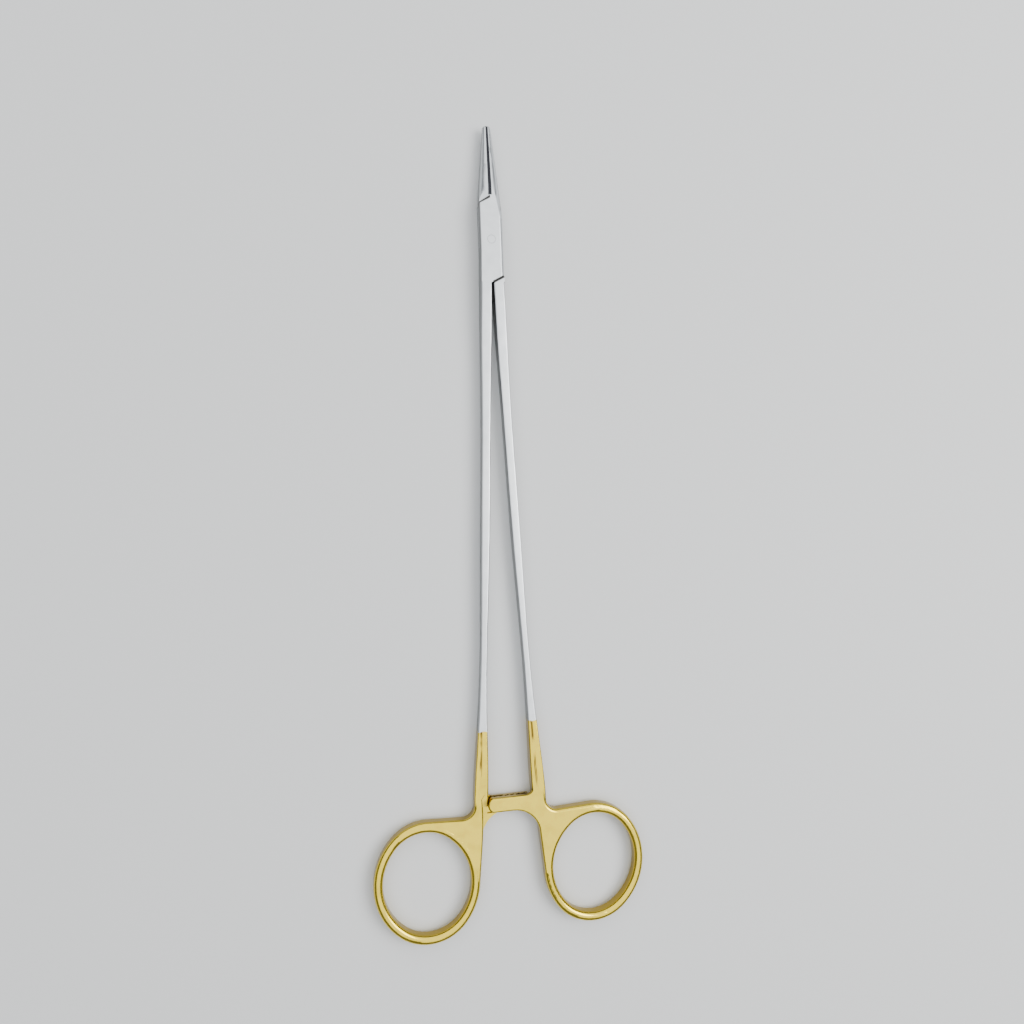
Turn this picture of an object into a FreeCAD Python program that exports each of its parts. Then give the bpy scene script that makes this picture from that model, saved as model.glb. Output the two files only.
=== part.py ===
import FreeCAD, Part
import math
import os
import Sketcher

# Surgical needle holder: two forged arms crossed in a box lock, tungsten carbide jaw faces,
# a three-click style ratchet between the shanks and a finger ring at the end of each shank.
#
# Frame, in millimetres: the lock pin stands on the Z axis and z = 0 is the flat underside of the
# box. Y runs toward the jaw tips and the finger rings lie toward -Y. The female arm has the box,
# the right jaw (+X) and the left shank (-X). The male arm passes through the box and has the
# left jaw and the right shank. Both handles are the same forging, turned over about the Y axis.

SIZES = [
    # Box lock
    ("box_width", 6.4, "across the box"),
    ("box_offset", 0.2, "long axis to the middle of the box"),
    ("box_flare_reach", 3.0, "pin to where the left side of the box starts to flare"),
    ("box_height", 5.4, "thickness of the box"),
    ("box_edge_radius", 1.1, "rounding of the box edges on the jaw side"),
    ("box_wall_radius", 0.2, "rounding of the other box edges"),
    ("seam_reach", 12.05, "pin to the inner end of each seam"),
    ("seam_outer_reach", 10.35, "pin to the outer end of each seam"),
    ("tongue_height", 2.2, "thickness of the male tongue in the slot"),
    ("tongue_tilt", 9.5, "angle of the tongue to the long axis when closed, degrees"),
    ("opening_limit", 45, "angle at which the tongue meets the side walls, degrees"),
    ("slide_clearance", 0.05, "running gap between tongue and slot"),
    ("pin_diameter", 2.3, "lock pin"),
    ("pin_seat_gap", 0.01, "radial gap of the pin in the cheeks"),
    ("pin_running_gap", 0.03, "radial gap of the pin in the tongue"),
    # Jaws
    ("jaw_reach", 32.8, "pin to the jaw tips"),
    ("jaw_tip_radius", 1.0, "radius of the closed jaws behind the nose"),
    ("jaw_nose_radius", 0.6, "rounding of the nose"),
    ("jaw_taper", 5.8, "taper of the ground jaws to the long axis, degrees"),
    ("jaw_axis_offset", 0.18, "long axis to the axis each jaw is turned about"),
    ("jaw_gap", 0.03, "gap between the closed jaws"),
    ("bevel_margin", 0.65, "seam to the top of the shoulder bevel, on the long axis"),
    ("bevel_slope", 22, "slope of the shoulder bevel, degrees"),
    ("insert_margin", 0.55, "seam to the base of the carbide insert"),
    ("insert_tip_thickness", 0.3, "carbide at the tip"),
    ("insert_base_thickness", 0.5, "carbide at its base"),
    ("braze_gap", 0.02, "gap round the insert in its seat"),
    # Shanks
    ("shank_root_offset", 1.77, "long axis to the shank where it leaves the box"),
    ("shank_end_offset", 8.55, "long axis to the shank at the ratchet"),
    ("shank_bow", 0.6, "how far the shank bows in from a straight line"),
    ("shank_root_width", 3.0, "shank width at the box"),
    ("shank_width", 2.4, "shank width"),
    ("shank_height", 3.4, "shank thickness"),
    ("shank_end_width", 3.8, "shank width above the ratchet"),
    ("shank_end_height", 3.95, "shank thickness above the ratchet"),
    ("shank_edge_radius", 0.45, "rounding of the shank edges"),
    ("root_step", 0.04, "box thickness less shank thickness at the box"),
    ("root_taper_length", 30, "length over which the box thickness runs out into the shank"),
    ("end_taper_length", 26, "length over which the shank grows toward the ratchet"),
    # Finger rings
    ("ring_reach", 180.08, "pin to the ring centre, along the long axis"),
    ("ring_offset", 24.28, "long axis to the ring centre"),
    ("ring_half_width", 13.61, "half the ring across, to the middle of the band"),
    ("ring_half_length", 15.7, "half the ring lengthwise, to the middle of the band"),
    ("ring_tilt", 6, "lean of the ring away from the long axis, degrees"),
    ("band_width", 2.65, "width of the ring band"),
    ("band_height", 4.0, "thickness of the ring band"),
    ("band_edge_radius", 1.2, "rounding of the ring band"),
    # Web between shank and ring
    ("web_height", 3.8, "thickness of the web"),
    ("web_edge_radius", 0.6, "rounding of the web and ratchet bar toward the long axis"),
    ("web_outer_radius", 1.0, "rounding of the web away from the long axis"),
    ("web_crotch_radius", 3.3, "hollow between shank and ring"),
    ("web_rise", 0.3, "web beyond the ring band, at the top of the ring"),
    ("web_shoulder_drop", 0.5, "top of the web down to its shoulder"),
    ("web_inner_offset", 8.3, "long axis to the web below the ratchet bar"),
    ("web_sink", 0.1, "how deep the ends of the web lie inside the band"),
    ("web_start_angle", -8, "where the web starts on the ring, from its inner side, degrees"),
    ("web_end_angle", 130, "where the web ends on the ring, from its inner side, degrees"),
    ("web_neck_width", 2.6, "start of the web inside the shank"),
    ("web_neck_rise", 13.5, "ratchet to the start of the web"),
    # Ratchet
    ("bar_above_ring", 4.2, "ring band to the middle of the ratchet bar"),
    ("bar_width", 4.2, "width of the ratchet bar"),
    ("bar_reach", 6.5, "length of the bar past the long axis"),
    ("bar_upper_fillet", 2.0, "hollow between bar and shank"),
    ("bar_lower_fillet", 7.4, "hollow between bar and ring"),
    ("bar_end_ease", 0.2, "how much flatter than a half circle the end of the bar is"),
    ("bar_end_gap", 1.5, "end of the bar to the other arm"),
    ("tooth_count", 4, "teeth on each bar"),
    ("tooth_pitch", 1.6, "spacing of the teeth"),
    ("tooth_depth", 0.55, "depth of the teeth"),
    ("tooth_land", 0.15, "flat on each crest"),
    ("tooth_margin", 1.9, "end of the bar to the first tooth"),
    ("crest_gap", 0.03, "height of the tooth crests over the middle plane"),
]

doc = FreeCAD.newDocument("needle_holder")
sheet = doc.addObject("Spreadsheet::Sheet", "sizes")
for row, (alias, value, meaning) in enumerate(SIZES, start=1):
    sheet.set(f"A{row}", meaning)
    sheet.set(f"B{row}", str(value))
    sheet.setAlias(f"B{row}", alias)
doc.recompute()


def number(expression):
    """Value of an expression on the sheet."""
    return float(sheet.evalExpression(str(expression)))


# Lengths that several pieces share, as expressions on the sheet.
LEFT = "(sizes.box_width / 2 - sizes.box_offset)"
RIGHT = "(sizes.box_width / 2 + sizes.box_offset)"
MIDDLE = "(sizes.box_height / 2)"
SEAM_FALL = "((sizes.seam_reach - sizes.seam_outer_reach) * 2 / sizes.box_width)"
TONGUE_HALF = "(sizes.seam_reach * sin(sizes.tongue_tilt * 1 deg))"
DISC_RADIUS = f"({LEFT} / cos(sizes.opening_limit / 2 * 1 deg))"
SHANK_ROOT_EDGE = "(sizes.shank_root_offset + sizes.shank_root_width / 2)"
JAW_TAPER = "tan(sizes.jaw_taper * 1 deg)"
OVAL_SHIFT = "((sizes.ring_half_length - sizes.ring_half_width) / (2 - sqrt(2)))"
END_RADIUS = f"(sizes.ring_half_length - {OVAL_SHIFT})"
SIDE_RADIUS = f"(sizes.ring_half_width + {OVAL_SHIFT})"
RING_TOP = f"(sizes.ring_reach - {OVAL_SHIFT} * cos(sizes.ring_tilt * 1 deg) - {END_RADIUS})"
BAR_REACH = f"({RING_TOP} - sizes.bar_above_ring)"
INSERT_BASE = "(sizes.seam_reach + sizes.insert_margin)"


def new_body(name):
    body = doc.addObject("PartDesign::Body", name)
    body.Label = name
    return body


def sketch_on(body, name, role, height="0"):
    """Empty sketch parallel to an origin plane of its body, at the given height over it."""
    sketch = body.newObject("Sketcher::SketchObject", name)
    plane = next(item for item in body.Origin.OriginFeatures if item.Role == role)
    sketch.AttachmentSupport = [(plane, "")]
    sketch.MapMode = "FlatFace"
    sketch.setExpression("AttachmentOffset.Base.z", height)
    return sketch


def hold(sketch, geometry, position, x, y):
    """Fix one point of the sketch at x, y, both expressions on the sheet."""
    for axis, line, expression in (("DistanceX", -2, x), ("DistanceY", -1, y)):
        value = number(expression)
        if abs(value) < 1e-9:
            sketch.addConstraint(Sketcher.Constraint("PointOnObject", geometry, position, line))
        else:
            index = sketch.addConstraint(Sketcher.Constraint(axis, -1, 1, geometry, position, value))
            sketch.setExpression(f"Constraints[{index}]", expression)


def arc_between(start, end, radius, turn):
    """Arc from start to end; turn is 1 for counterclockwise and -1 for clockwise."""
    chord = end - start
    rise = math.sqrt(max(radius ** 2 - chord.Length ** 2 / 4, 0))
    normal = FreeCAD.Vector(-chord.y, chord.x, 0).normalize()
    centre = (start + end) / 2 + normal * rise * turn
    first, last = (start, end) if turn > 0 else (end, start)
    angles = [math.atan2(point.y - centre.y, point.x - centre.x) for point in (first, last)]
    if angles[1] < angles[0]:
        angles[1] += 2 * math.pi
    circle = Part.Circle(centre, FreeCAD.Vector(0, 0, 1), radius)
    return Part.ArcOfCircle(circle, angles[0], angles[1])


def outline(sketch, corners):
    """Closed outline. A corner is (x, y), or (x, y, radius, turn) to reach it along an arc.

    Returns the middle of each edge, in sketch coordinates, the edge that ends at corner 1 first.
    """
    points = [FreeCAD.Vector(number(corner[0]), number(corner[1]), 0) for corner in corners]
    ends, middles = [], []
    for index in range(len(corners)):
        following = (index + 1) % len(corners)
        start, end, corner = points[index], points[following], corners[following]
        if len(corner) == 2:
            edge = Part.LineSegment(start, end)
            geometry = sketch.addGeometry(edge, False)
            ends.append((geometry, 1, 2))
        else:
            edge = arc_between(start, end, number(corner[2]), corner[3])
            geometry = sketch.addGeometry(edge, False)
            ends.append((geometry, 1, 2) if corner[3] > 0 else (geometry, 2, 1))
        middles.append(edge.value((edge.FirstParameter + edge.LastParameter) / 2))
    for index, (geometry, first, last) in enumerate(ends):
        after, after_first, after_last = ends[(index + 1) % len(ends)]
        sketch.addConstraint(Sketcher.Constraint("Coincident", geometry, last, after, after_first))
        hold(sketch, geometry, first, corners[index][0], corners[index][1])
    for index, (geometry, first, last) in enumerate(ends):
        corner = corners[(index + 1) % len(corners)]
        if len(corner) == 4:
            constraint = sketch.addConstraint(Sketcher.Constraint("Radius", geometry, number(corner[2])))
            if isinstance(corner[2], str):
                sketch.setExpression(f"Constraints[{constraint}]", corner[2])
    return middles


def rounded_rectangle(sketch, x, y, width, height, radius):
    """Rectangle about x, y with rounded corners."""
    left, right = f"{x} - ({width}) / 2", f"{x} + ({width}) / 2"
    bottom, top = f"{y} - ({height}) / 2", f"{y} + ({height}) / 2"
    outline(sketch, [
        (f"{left} + {radius}", bottom, radius, 1),
        (f"{right} - {radius}", bottom),
        (right, f"{bottom} + {radius}", radius, 1),
        (right, f"{top} - {radius}"),
        (f"{right} - {radius}", top, radius, 1),
        (f"{left} + {radius}", top),
        (left, f"{top} - {radius}", radius, 1),
        (left, f"{bottom} + {radius}"),
    ])


def circle(sketch, radius):
    """Circle about the sketch origin."""
    geometry = sketch.addGeometry(Part.Circle(FreeCAD.Vector(), FreeCAD.Vector(0, 0, 1), number(radius)))
    sketch.addConstraint(Sketcher.Constraint("Coincident", geometry, 3, -1, 1))
    constraint = sketch.addConstraint(Sketcher.Constraint("Radius", geometry, number(radius)))
    sketch.setExpression(f"Constraints[{constraint}]", radius)


def pad(body, sketch, name, length, flip=False, middle=False):
    feature = body.newObject("PartDesign::Pad", name)
    feature.Profile = sketch
    feature.setExpression("Length", length)
    feature.Reversed = flip
    feature.Midplane = middle
    doc.recompute()
    return feature


def pocket(body, sketch, name, length, flip=False, middle=False):
    """Cut; it goes against the sketch normal unless flipped."""
    volume = body.Tip.Shape.Volume
    feature = body.newObject("PartDesign::Pocket", name)
    feature.Profile = sketch
    feature.setExpression("Length", length)
    feature.Reversed = flip
    feature.Midplane = middle
    doc.recompute()
    if feature.Shape.isNull() or feature.Shape.Volume >= volume:
        raise RuntimeError(f"{body.Label}: {name} cuts nothing")
    return feature


def edges_through(shape, points):
    """Names of the edges that pass through the given points."""
    names = []
    for point in points:
        spot = Part.Vertex(point)
        near = min(range(len(shape.Edges)), key=lambda index: shape.Edges[index].distToShape(spot)[0])
        names.append(f"Edge{near + 1}")
    return names


def fillet(body, base, name, points, radius):
    feature = body.newObject("PartDesign::Fillet", name)
    feature.Base = (base, edges_through(base.Shape, points))
    feature.setExpression("Radius", radius)
    doc.recompute()
    return feature


def mirrored(corners, side):
    """Corners drawn for the right half, turned to the left half where side is -1."""
    result = []
    for corner in corners:
        place = (f"{side} * ({corner[0]})", corner[1])
        result.append(place if len(corner) == 2 else place + (corner[2], corner[3] * side))
    return result


def shank_centre(reach):
    """Distance of the shank from the long axis: a shallow parabola from box to ratchet."""
    share = f"(({reach} - sizes.seam_reach) / ({BAR_REACH} - sizes.seam_reach))"
    return (f"(sizes.shank_root_offset + (sizes.shank_end_offset - sizes.shank_root_offset) * {share}"
            f" - 4 * sizes.shank_bow * {share} * (1 - {share}))")


def ring_place(across, along):
    """Point of the right finger ring, given along the short and long axis of its oval."""
    sine, cosine = "sin(sizes.ring_tilt * 1 deg)", "cos(sizes.ring_tilt * 1 deg)"
    return (f"(sizes.ring_offset + ({across}) * {cosine} + ({along}) * {sine})",
            f"(-sizes.ring_reach - ({across}) * {sine} + ({along}) * {cosine})")


def ring_side_point(angle, outward):
    """Point on the inner side arc, the angle counted from the inner side toward the jaws."""
    radius = f"({SIDE_RADIUS} + {outward})"
    return ring_place(f"{OVAL_SHIFT} - {radius} * cos({angle} * 1 deg)", f"{radius} * sin({angle} * 1 deg)")


def ring_end_point(angle, outward):
    """Point on the arc at the top of the ring, the angle counted in the same way."""
    radius = f"({END_RADIUS} + {outward})"
    return ring_place(f"-{radius} * cos({angle} * 1 deg)", f"{OVAL_SHIFT} + {radius} * sin({angle} * 1 deg)")


def add_web(body, side):
    """Web and ratchet bar: two slabs that meet at the middle plane, the bar on one of them."""
    neck = f"({BAR_REACH} - sizes.web_neck_rise)"
    neck_half = "sizes.web_neck_width / 2"
    inner = "(sizes.shank_end_offset - sizes.shank_end_width / 2)"
    outer = "(sizes.shank_end_offset + sizes.shank_end_width / 2)"
    bar_upper = f"({BAR_REACH} - sizes.bar_width / 2)"
    bar_lower = f"({BAR_REACH} + sizes.bar_width / 2)"
    web_top = f"({RING_TOP} - sizes.band_width / 2 - sizes.web_rise)"
    shoulder = f"({web_top} + sizes.web_shoulder_drop)"
    end_radius = "(sizes.bar_width / 2 + sizes.bar_end_ease)"
    nose = f"({end_radius} - sqrt({end_radius}^2 - sizes.bar_width^2 / 4))"
    sunk = "(sizes.band_width / 2 - sizes.web_sink)"
    crotch = "sizes.web_crotch_radius"
    web_inner = ("sizes.web_inner_offset", f"-({bar_lower} + sizes.bar_lower_fillet)")

    # The web leaves the ring on an arc that is level over the ring centre.
    run_out = ring_end_point("sizes.web_end_angle", sunk)
    across, fall = f"({run_out[0]} - sizes.ring_offset)", f"(-{web_top} - {run_out[1]})"
    top_radius = f"(({across}^2 + {fall}^2) / (2 * {fall}))"

    start = [(f"{shank_centre(neck)} - {neck_half}", f"-{neck}"),
             (inner, f"-({bar_upper} - sizes.bar_upper_fillet)")]
    plain_side = [("(sizes.bar_reach + sizes.bar_end_gap)", f"-{bar_upper}"),
                  ("(sizes.bar_reach + sizes.bar_end_gap)", f"-{RING_TOP}"),
                  web_inner]
    bar_side = [(f"{inner} - sizes.bar_upper_fillet", f"-{bar_upper}", "sizes.bar_upper_fillet", -1),
                (f"-(sizes.bar_reach - {nose})", f"-{bar_upper}"),
                (f"-(sizes.bar_reach - {nose})", f"-{bar_lower}", end_radius, 1),
                ("sizes.web_inner_offset - sizes.bar_lower_fillet", f"-{bar_lower}"),
                web_inner + ("sizes.bar_lower_fillet", -1)]
    buried_side = [ring_side_point("sizes.web_start_angle", sunk),
                   ring_side_point("sizes.web_start_angle", "0"),
                   ring_side_point("45", "0") + (SIDE_RADIUS, -1),
                   ring_end_point("sizes.web_end_angle", "0") + (END_RADIUS, -1)]
    outer_side = [run_out,
                  ("sizes.ring_offset", f"-{web_top}", top_radius, 1),
                  (f"{outer} + {crotch}", f"-{shoulder}"),
                  (outer, f"-({shoulder} - {crotch})", crotch, -1),
                  (f"{shank_centre(neck)} + {neck_half}", f"-{neck}")]

    slabs = (("bar", start + bar_side, side, "sizes.web_height / 2 - sizes.crest_gap"),
             ("web", start + plain_side, -side, "sizes.web_height / 2 + sizes.crest_gap"))
    for name, inner_side, direction, thickness in slabs:
        sketch = sketch_on(body, f"{name}_outline", "XY_Plane", f"{MIDDLE} + {side} * sizes.crest_gap")
        middles = outline(sketch, mirrored(inner_side + buried_side + outer_side, side))
        slab = pad(body, sketch, name, thickness, flip=direction < 0)
        face = number(f"{MIDDLE} + {direction} * sizes.web_height / 2")
        points = [FreeCAD.Vector(middle.x, middle.y, face) for middle in middles]
        inner_points = points[:len(inner_side)]
        outer_points = points[len(inner_side) + len(buried_side):-1]
        rounded = fillet(body, slab, f"{name}_inner_rounding", inner_points, "sizes.web_edge_radius")
        fillet(body, rounded, f"{name}_outer_rounding", outer_points, "sizes.web_outer_radius")


def add_ring(body, side):
    """Finger ring: a rounded band carried round an oval of four arcs, from its top."""
    top = ring_end_point("(90 - sizes.ring_tilt)", "0")
    joint_across = f"{END_RADIUS} / sqrt(2)"
    joint_along = f"({OVAL_SHIFT} + {END_RADIUS} / sqrt(2))"
    path = sketch_on(body, "ring_path", "XY_Plane", MIDDLE)
    outline(path, mirrored([
        top + (END_RADIUS, -1),
        ring_place(joint_across, joint_along) + (END_RADIUS, -1),
        ring_place(joint_across, f"-{joint_along}") + (SIDE_RADIUS, -1),
        ring_place(f"-{joint_across}", f"-{joint_along}") + (END_RADIUS, -1),
        ring_place(f"-{joint_across}", joint_along) + (SIDE_RADIUS, -1),
    ], side))
    section = sketch_on(body, "ring_section", "YZ_Plane", f"{side} * {top[0]}")
    rounded_rectangle(section, f"-{RING_TOP}", MIDDLE, "sizes.band_width", "sizes.band_height",
                      "sizes.band_edge_radius")
    doc.recompute()
    ring = body.newObject("PartDesign::AdditivePipe", "ring")
    ring.Profile = section
    ring.Spine = (path, [f"Edge{index}" for index in range(1, 6)])
    doc.recompute()


def add_shank(body, side):
    """Shank: rounded sections that run from the box to under the web."""
    taper_end = "(sizes.seam_reach + sizes.root_taper_length)"
    swell_start = f"({BAR_REACH} - sizes.end_taper_length)"
    root_height = "(sizes.box_height - sizes.root_step)"
    stations = [
        ("(sizes.seam_reach - 2)", "sizes.shank_root_width", root_height),
        ("(sizes.seam_reach + 1)", "sizes.shank_root_width", root_height),
        (f"(sizes.seam_reach * 0.4 + {taper_end} * 0.6)", "sizes.shank_root_width",
         f"({root_height} * 0.2 + sizes.shank_height * 0.8)"),
        (taper_end, "(sizes.shank_root_width + sizes.shank_width) / 2", "sizes.shank_height"),
        (f"({taper_end} + {swell_start}) / 2", "sizes.shank_width", "sizes.shank_height"),
        (swell_start, "sizes.shank_width", "sizes.shank_height"),
        (f"({swell_start} * 0.3 + {BAR_REACH} * 0.7)", "sizes.shank_end_width", "sizes.shank_end_height"),
        (BAR_REACH, "sizes.shank_end_width", "(sizes.web_height - sizes.shank_edge_radius)"),
    ]
    sections = []
    for index, (reach, width, height) in enumerate(stations):
        section = sketch_on(body, f"shank_section_{index}", "XZ_Plane", reach)
        rounded_rectangle(section, f"{side} * {shank_centre(reach)}", MIDDLE, width, height,
                          "sizes.shank_edge_radius")
        sections.append(section)
    doc.recompute()
    shank = body.newObject("PartDesign::AdditiveLoft", "shank")
    shank.Profile = sections[0]
    shank.Sections = sections[1:]
    doc.recompute()


def grind_jaw(body, side):
    """Turn the jaw and its nose down to a cone about an axis a little to its own side."""
    radius_at_pin = f"(sizes.jaw_tip_radius + (sizes.jaw_reach - sizes.jaw_nose_radius) * {JAW_TAPER})"
    nose = "sizes.jaw_nose_radius"
    sketch = sketch_on(body, "jaw_cone", "XY_Plane", MIDDLE)
    sketch.setExpression("AttachmentOffset.Base.x", f"{side} * sizes.jaw_axis_offset")
    outline(sketch, mirrored([
        ("0", "sizes.jaw_reach + 1"),
        ("0", "sizes.jaw_reach"),
        (f"sizes.jaw_tip_radius - {nose}", "sizes.jaw_reach"),
        ("sizes.jaw_tip_radius", f"sizes.jaw_reach - {nose}", nose, -1),
        (radius_at_pin, "0"),
        (f"{radius_at_pin} + sizes.box_width", "0"),
        (f"{radius_at_pin} + sizes.box_width", "sizes.jaw_reach + 1"),
    ], side))
    groove = body.newObject("PartDesign::Groove", "jaw_grinding")
    groove.Profile = sketch
    groove.ReferenceAxis = (sketch, ["V_Axis"])
    groove.Angle = 360
    doc.recompute()


def cut_pin_bore(body, gap):
    sketch = sketch_on(body, "pin_bore_outline", "XY_Plane")
    circle(sketch, f"sizes.pin_diameter / 2 + {gap}")
    pocket(body, sketch, "pin_bore", "sizes.box_height", flip=True)


def insert_outline(sketch, side, inner, gap):
    """Wedge of the carbide insert, or of its seat where a gap is added."""
    outline(sketch, mirrored([
        (inner, f"{INSERT_BASE} - {gap}"),
        (f"sizes.insert_base_thickness + {gap}", f"{INSERT_BASE} - {gap}"),
        (f"sizes.insert_tip_thickness + {gap}", "sizes.jaw_reach"),
        (inner, "sizes.jaw_reach"),
    ], side))


def cut_insert_seat(body, side):
    sketch = sketch_on(body, "insert_seat_outline", "XY_Plane", MIDDLE)
    insert_outline(sketch, side, "0", "sizes.braze_gap")
    pocket(body, sketch, "insert_seat", "sizes.box_height + 1", middle=True)


def cut_teeth(body, side):
    """Ratchet teeth, their run-in and their relief, cut into the inner face of the bar."""
    crest = "sizes.crest_gap"
    depth = f"({crest} + sizes.tooth_depth)"
    first = "(sizes.tooth_margin - sizes.bar_reach)"
    last = f"({first} + sizes.tooth_count * sizes.tooth_pitch)"
    free_end = "(-sizes.bar_reach - 1)"
    root = "(sizes.shank_end_offset - sizes.shank_end_width / 2)"

    def on_bar(corners):
        return [(f"{side} * {x}", f"{MIDDLE} + {side} * ({z})") for x, z in corners]

    cuts = (
        ("run_in", [(free_end, "0"), (first, "0"), (first, crest), (free_end, depth)]),
        ("relief", [(last, "0"), (root, "0"), (root, depth), (last, depth)]),
        ("tooth", [(first, "0"), (f"({first} + sizes.tooth_pitch - sizes.tooth_land)", "0"),
                   (f"({first} + sizes.tooth_pitch - sizes.tooth_land)", crest), (first, depth)]),
    )
    for name, corners in cuts:
        sketch = sketch_on(body, f"{name}_outline", "XZ_Plane", BAR_REACH)
        outline(sketch, on_bar(corners))
        cut = pocket(body, sketch, name, "sizes.bar_width + 1", middle=True)
    teeth = body.newObject("PartDesign::LinearPattern", "teeth")
    teeth.Originals = [cut]
    teeth.Direction = (sketch, ["H_Axis"])
    teeth.Reversed = side < 0
    teeth.setExpression("Length", "sizes.tooth_pitch * (sizes.tooth_count - 1)")
    teeth.setExpression("Occurrences", "sizes.tooth_count")
    body.Tip = teeth
    doc.recompute()


def female_arm():
    """Box with its slot, right jaw, left shank and left ring."""
    body = new_body("female_arm")
    lower_seam = (RIGHT, f"-(sizes.seam_reach - {SEAM_FALL} * {RIGHT})")
    sketch = sketch_on(body, "jaw_outline", "XY_Plane")
    outline(sketch, [
        ("sizes.jaw_gap / 2", "sizes.jaw_reach"),
        ("sizes.jaw_gap / 2", "-sizes.seam_reach"),
        lower_seam,
        (RIGHT, "sizes.jaw_reach"),
    ])
    jaw = pad(body, sketch, "jaw", "sizes.box_height")
    heights = (0, number("sizes.box_height"))
    right_edges = [FreeCAD.Vector(number(RIGHT), 0, height) for height in heights]
    fillet(body, jaw, "box_rounding", right_edges, "sizes.box_edge_radius")
    grind_jaw(body, 1)
    add_web(body, -1)
    add_ring(body, -1)
    add_shank(body, -1)
    sketch = sketch_on(body, "box_outline", "XY_Plane")
    outline(sketch, [
        ("sizes.jaw_gap / 2", "sizes.seam_reach"),
        (f"-{LEFT}", f"sizes.seam_reach - {SEAM_FALL} * {LEFT}"),
        (f"-{LEFT}", "-sizes.box_flare_reach"),
        (f"-{SHANK_ROOT_EDGE}", "-sizes.seam_reach"),
        ("sizes.jaw_gap / 2", "-sizes.seam_reach"),
    ])
    box = pad(body, sketch, "box", "sizes.box_height")
    left_edges = [FreeCAD.Vector(-number(LEFT), number("sizes.box_flare_reach"), height) for height in heights]
    fillet(body, box, "box_wall_rounding", left_edges, "sizes.box_wall_radius")

    # Slot for the tongue: open above the left wall and below the right wall. Each wall ends on a
    # circle about the pin and its inner face lies along the closed tongue.
    slot_radius = f"({DISC_RADIUS} + sizes.slide_clearance)"
    slot_half = f"({TONGUE_HALF} + sizes.slide_clearance)"
    wall_end = f"sqrt({slot_radius}^2 - {LEFT}^2)"
    open_end = "(sizes.seam_reach + 2 * sizes.slide_clearance)"
    beyond = f"({RIGHT} + 1)"
    corner_x, corner_y = tongue_corner(slot_half, slot_radius)
    end_x = f"({slot_half} - {open_end} * sin(sizes.tongue_tilt * 1 deg)) / cos(sizes.tongue_tilt * 1 deg)"
    half = [
        (f"-{beyond}", f"-{wall_end}"),
        (f"-{LEFT}", f"-{wall_end}"),
        (f"-{corner_x}", f"-{corner_y}", slot_radius, 1),
        (f"-({end_x})", f"-{open_end}"),
        (beyond, f"-{open_end}"),
    ]
    sketch = sketch_on(body, "slot_outline", "XY_Plane", MIDDLE)
    outline(sketch, half + turned(half))
    pocket(body, sketch, "slot", "sizes.tongue_height + 2 * sizes.slide_clearance", middle=True)
    cut_pin_bore(body, "sizes.pin_seat_gap")
    cut_insert_seat(body, 1)
    cut_teeth(body, -1)
    return body


def tongue_corner(half_width, radius):
    """Where an edge of the closed tongue, half_width from the pin, meets a circle about the pin."""
    along = f"sqrt({radius}^2 - {half_width}^2)"
    sine, cosine = "sin(sizes.tongue_tilt * 1 deg)", "cos(sizes.tongue_tilt * 1 deg)"
    return f"({half_width} * {cosine} - {along} * {sine})", f"({half_width} * {sine} + {along} * {cosine})"


def turned(corners):
    """Corners turned half a turn about the pin."""
    return [(f"-({corner[0]})", f"-({corner[1]})") + corner[2:] for corner in corners]


def male_arm():
    """Tongue through the box, left jaw, right shank and right ring."""
    body = new_body("male_arm")
    add_web(body, 1)
    add_ring(body, 1)
    add_shank(body, 1)
    disc_edge = f"({LEFT} - sizes.slide_clearance)"
    disc_end = f"sqrt({DISC_RADIUS}^2 - {disc_edge}^2)"
    root_edge = f"({RIGHT} - sizes.slide_clearance)"
    step_end = f"({disc_end} + 2 * sizes.slide_clearance)"
    corner_x, corner_y = tongue_corner(TONGUE_HALF, DISC_RADIUS)
    sketch = sketch_on(body, "tongue_outline", "XY_Plane")
    outline(sketch, [
        ("-sizes.jaw_gap / 2", "sizes.jaw_reach"),
        (f"-{disc_edge}", "sizes.jaw_reach"),
        (f"-{disc_edge}", f"-{disc_end}"),
        (f"-{corner_x}", f"-{corner_y}", DISC_RADIUS, 1),
        ("0", "-sizes.seam_reach"),
        (root_edge, "-sizes.seam_reach"),
        (root_edge, f"-({step_end} + 2 * sizes.box_offset)"),
        (disc_edge, f"-{step_end}"),
        (disc_edge, disc_end),
        (corner_x, corner_y, DISC_RADIUS, 1),
        ("-sizes.jaw_gap / 2", "sizes.seam_reach"),
    ])
    pad(body, sketch, "tongue", "sizes.box_height")
    grind_jaw(body, -1)

    # Room for the two cheeks of the box, over and under the tongue, out to the seams.
    beyond = f"({RIGHT} + 1)"
    inner_reach = "(sizes.seam_reach + sizes.slide_clearance)"
    half = [
        (beyond, inner_reach),
        ("0", inner_reach),
        (f"-{beyond}", f"({inner_reach} - {SEAM_FALL} * {beyond})"),
    ]
    for name, direction in (("upper", 1), ("lower", -1)):
        height = f"{MIDDLE} + {direction} * sizes.tongue_height / 2"
        sketch = sketch_on(body, f"{name}_cheek_outline", "XY_Plane", height)
        outline(sketch, half + turned(half))
        pocket(body, sketch, f"{name}_cheek_room", "sizes.box_height", flip=direction > 0)
    bevel_shoulder(body)
    cut_pin_bore(body, "sizes.pin_running_gap")
    cut_insert_seat(body, -1)
    cut_teeth(body, 1)
    return body


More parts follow.
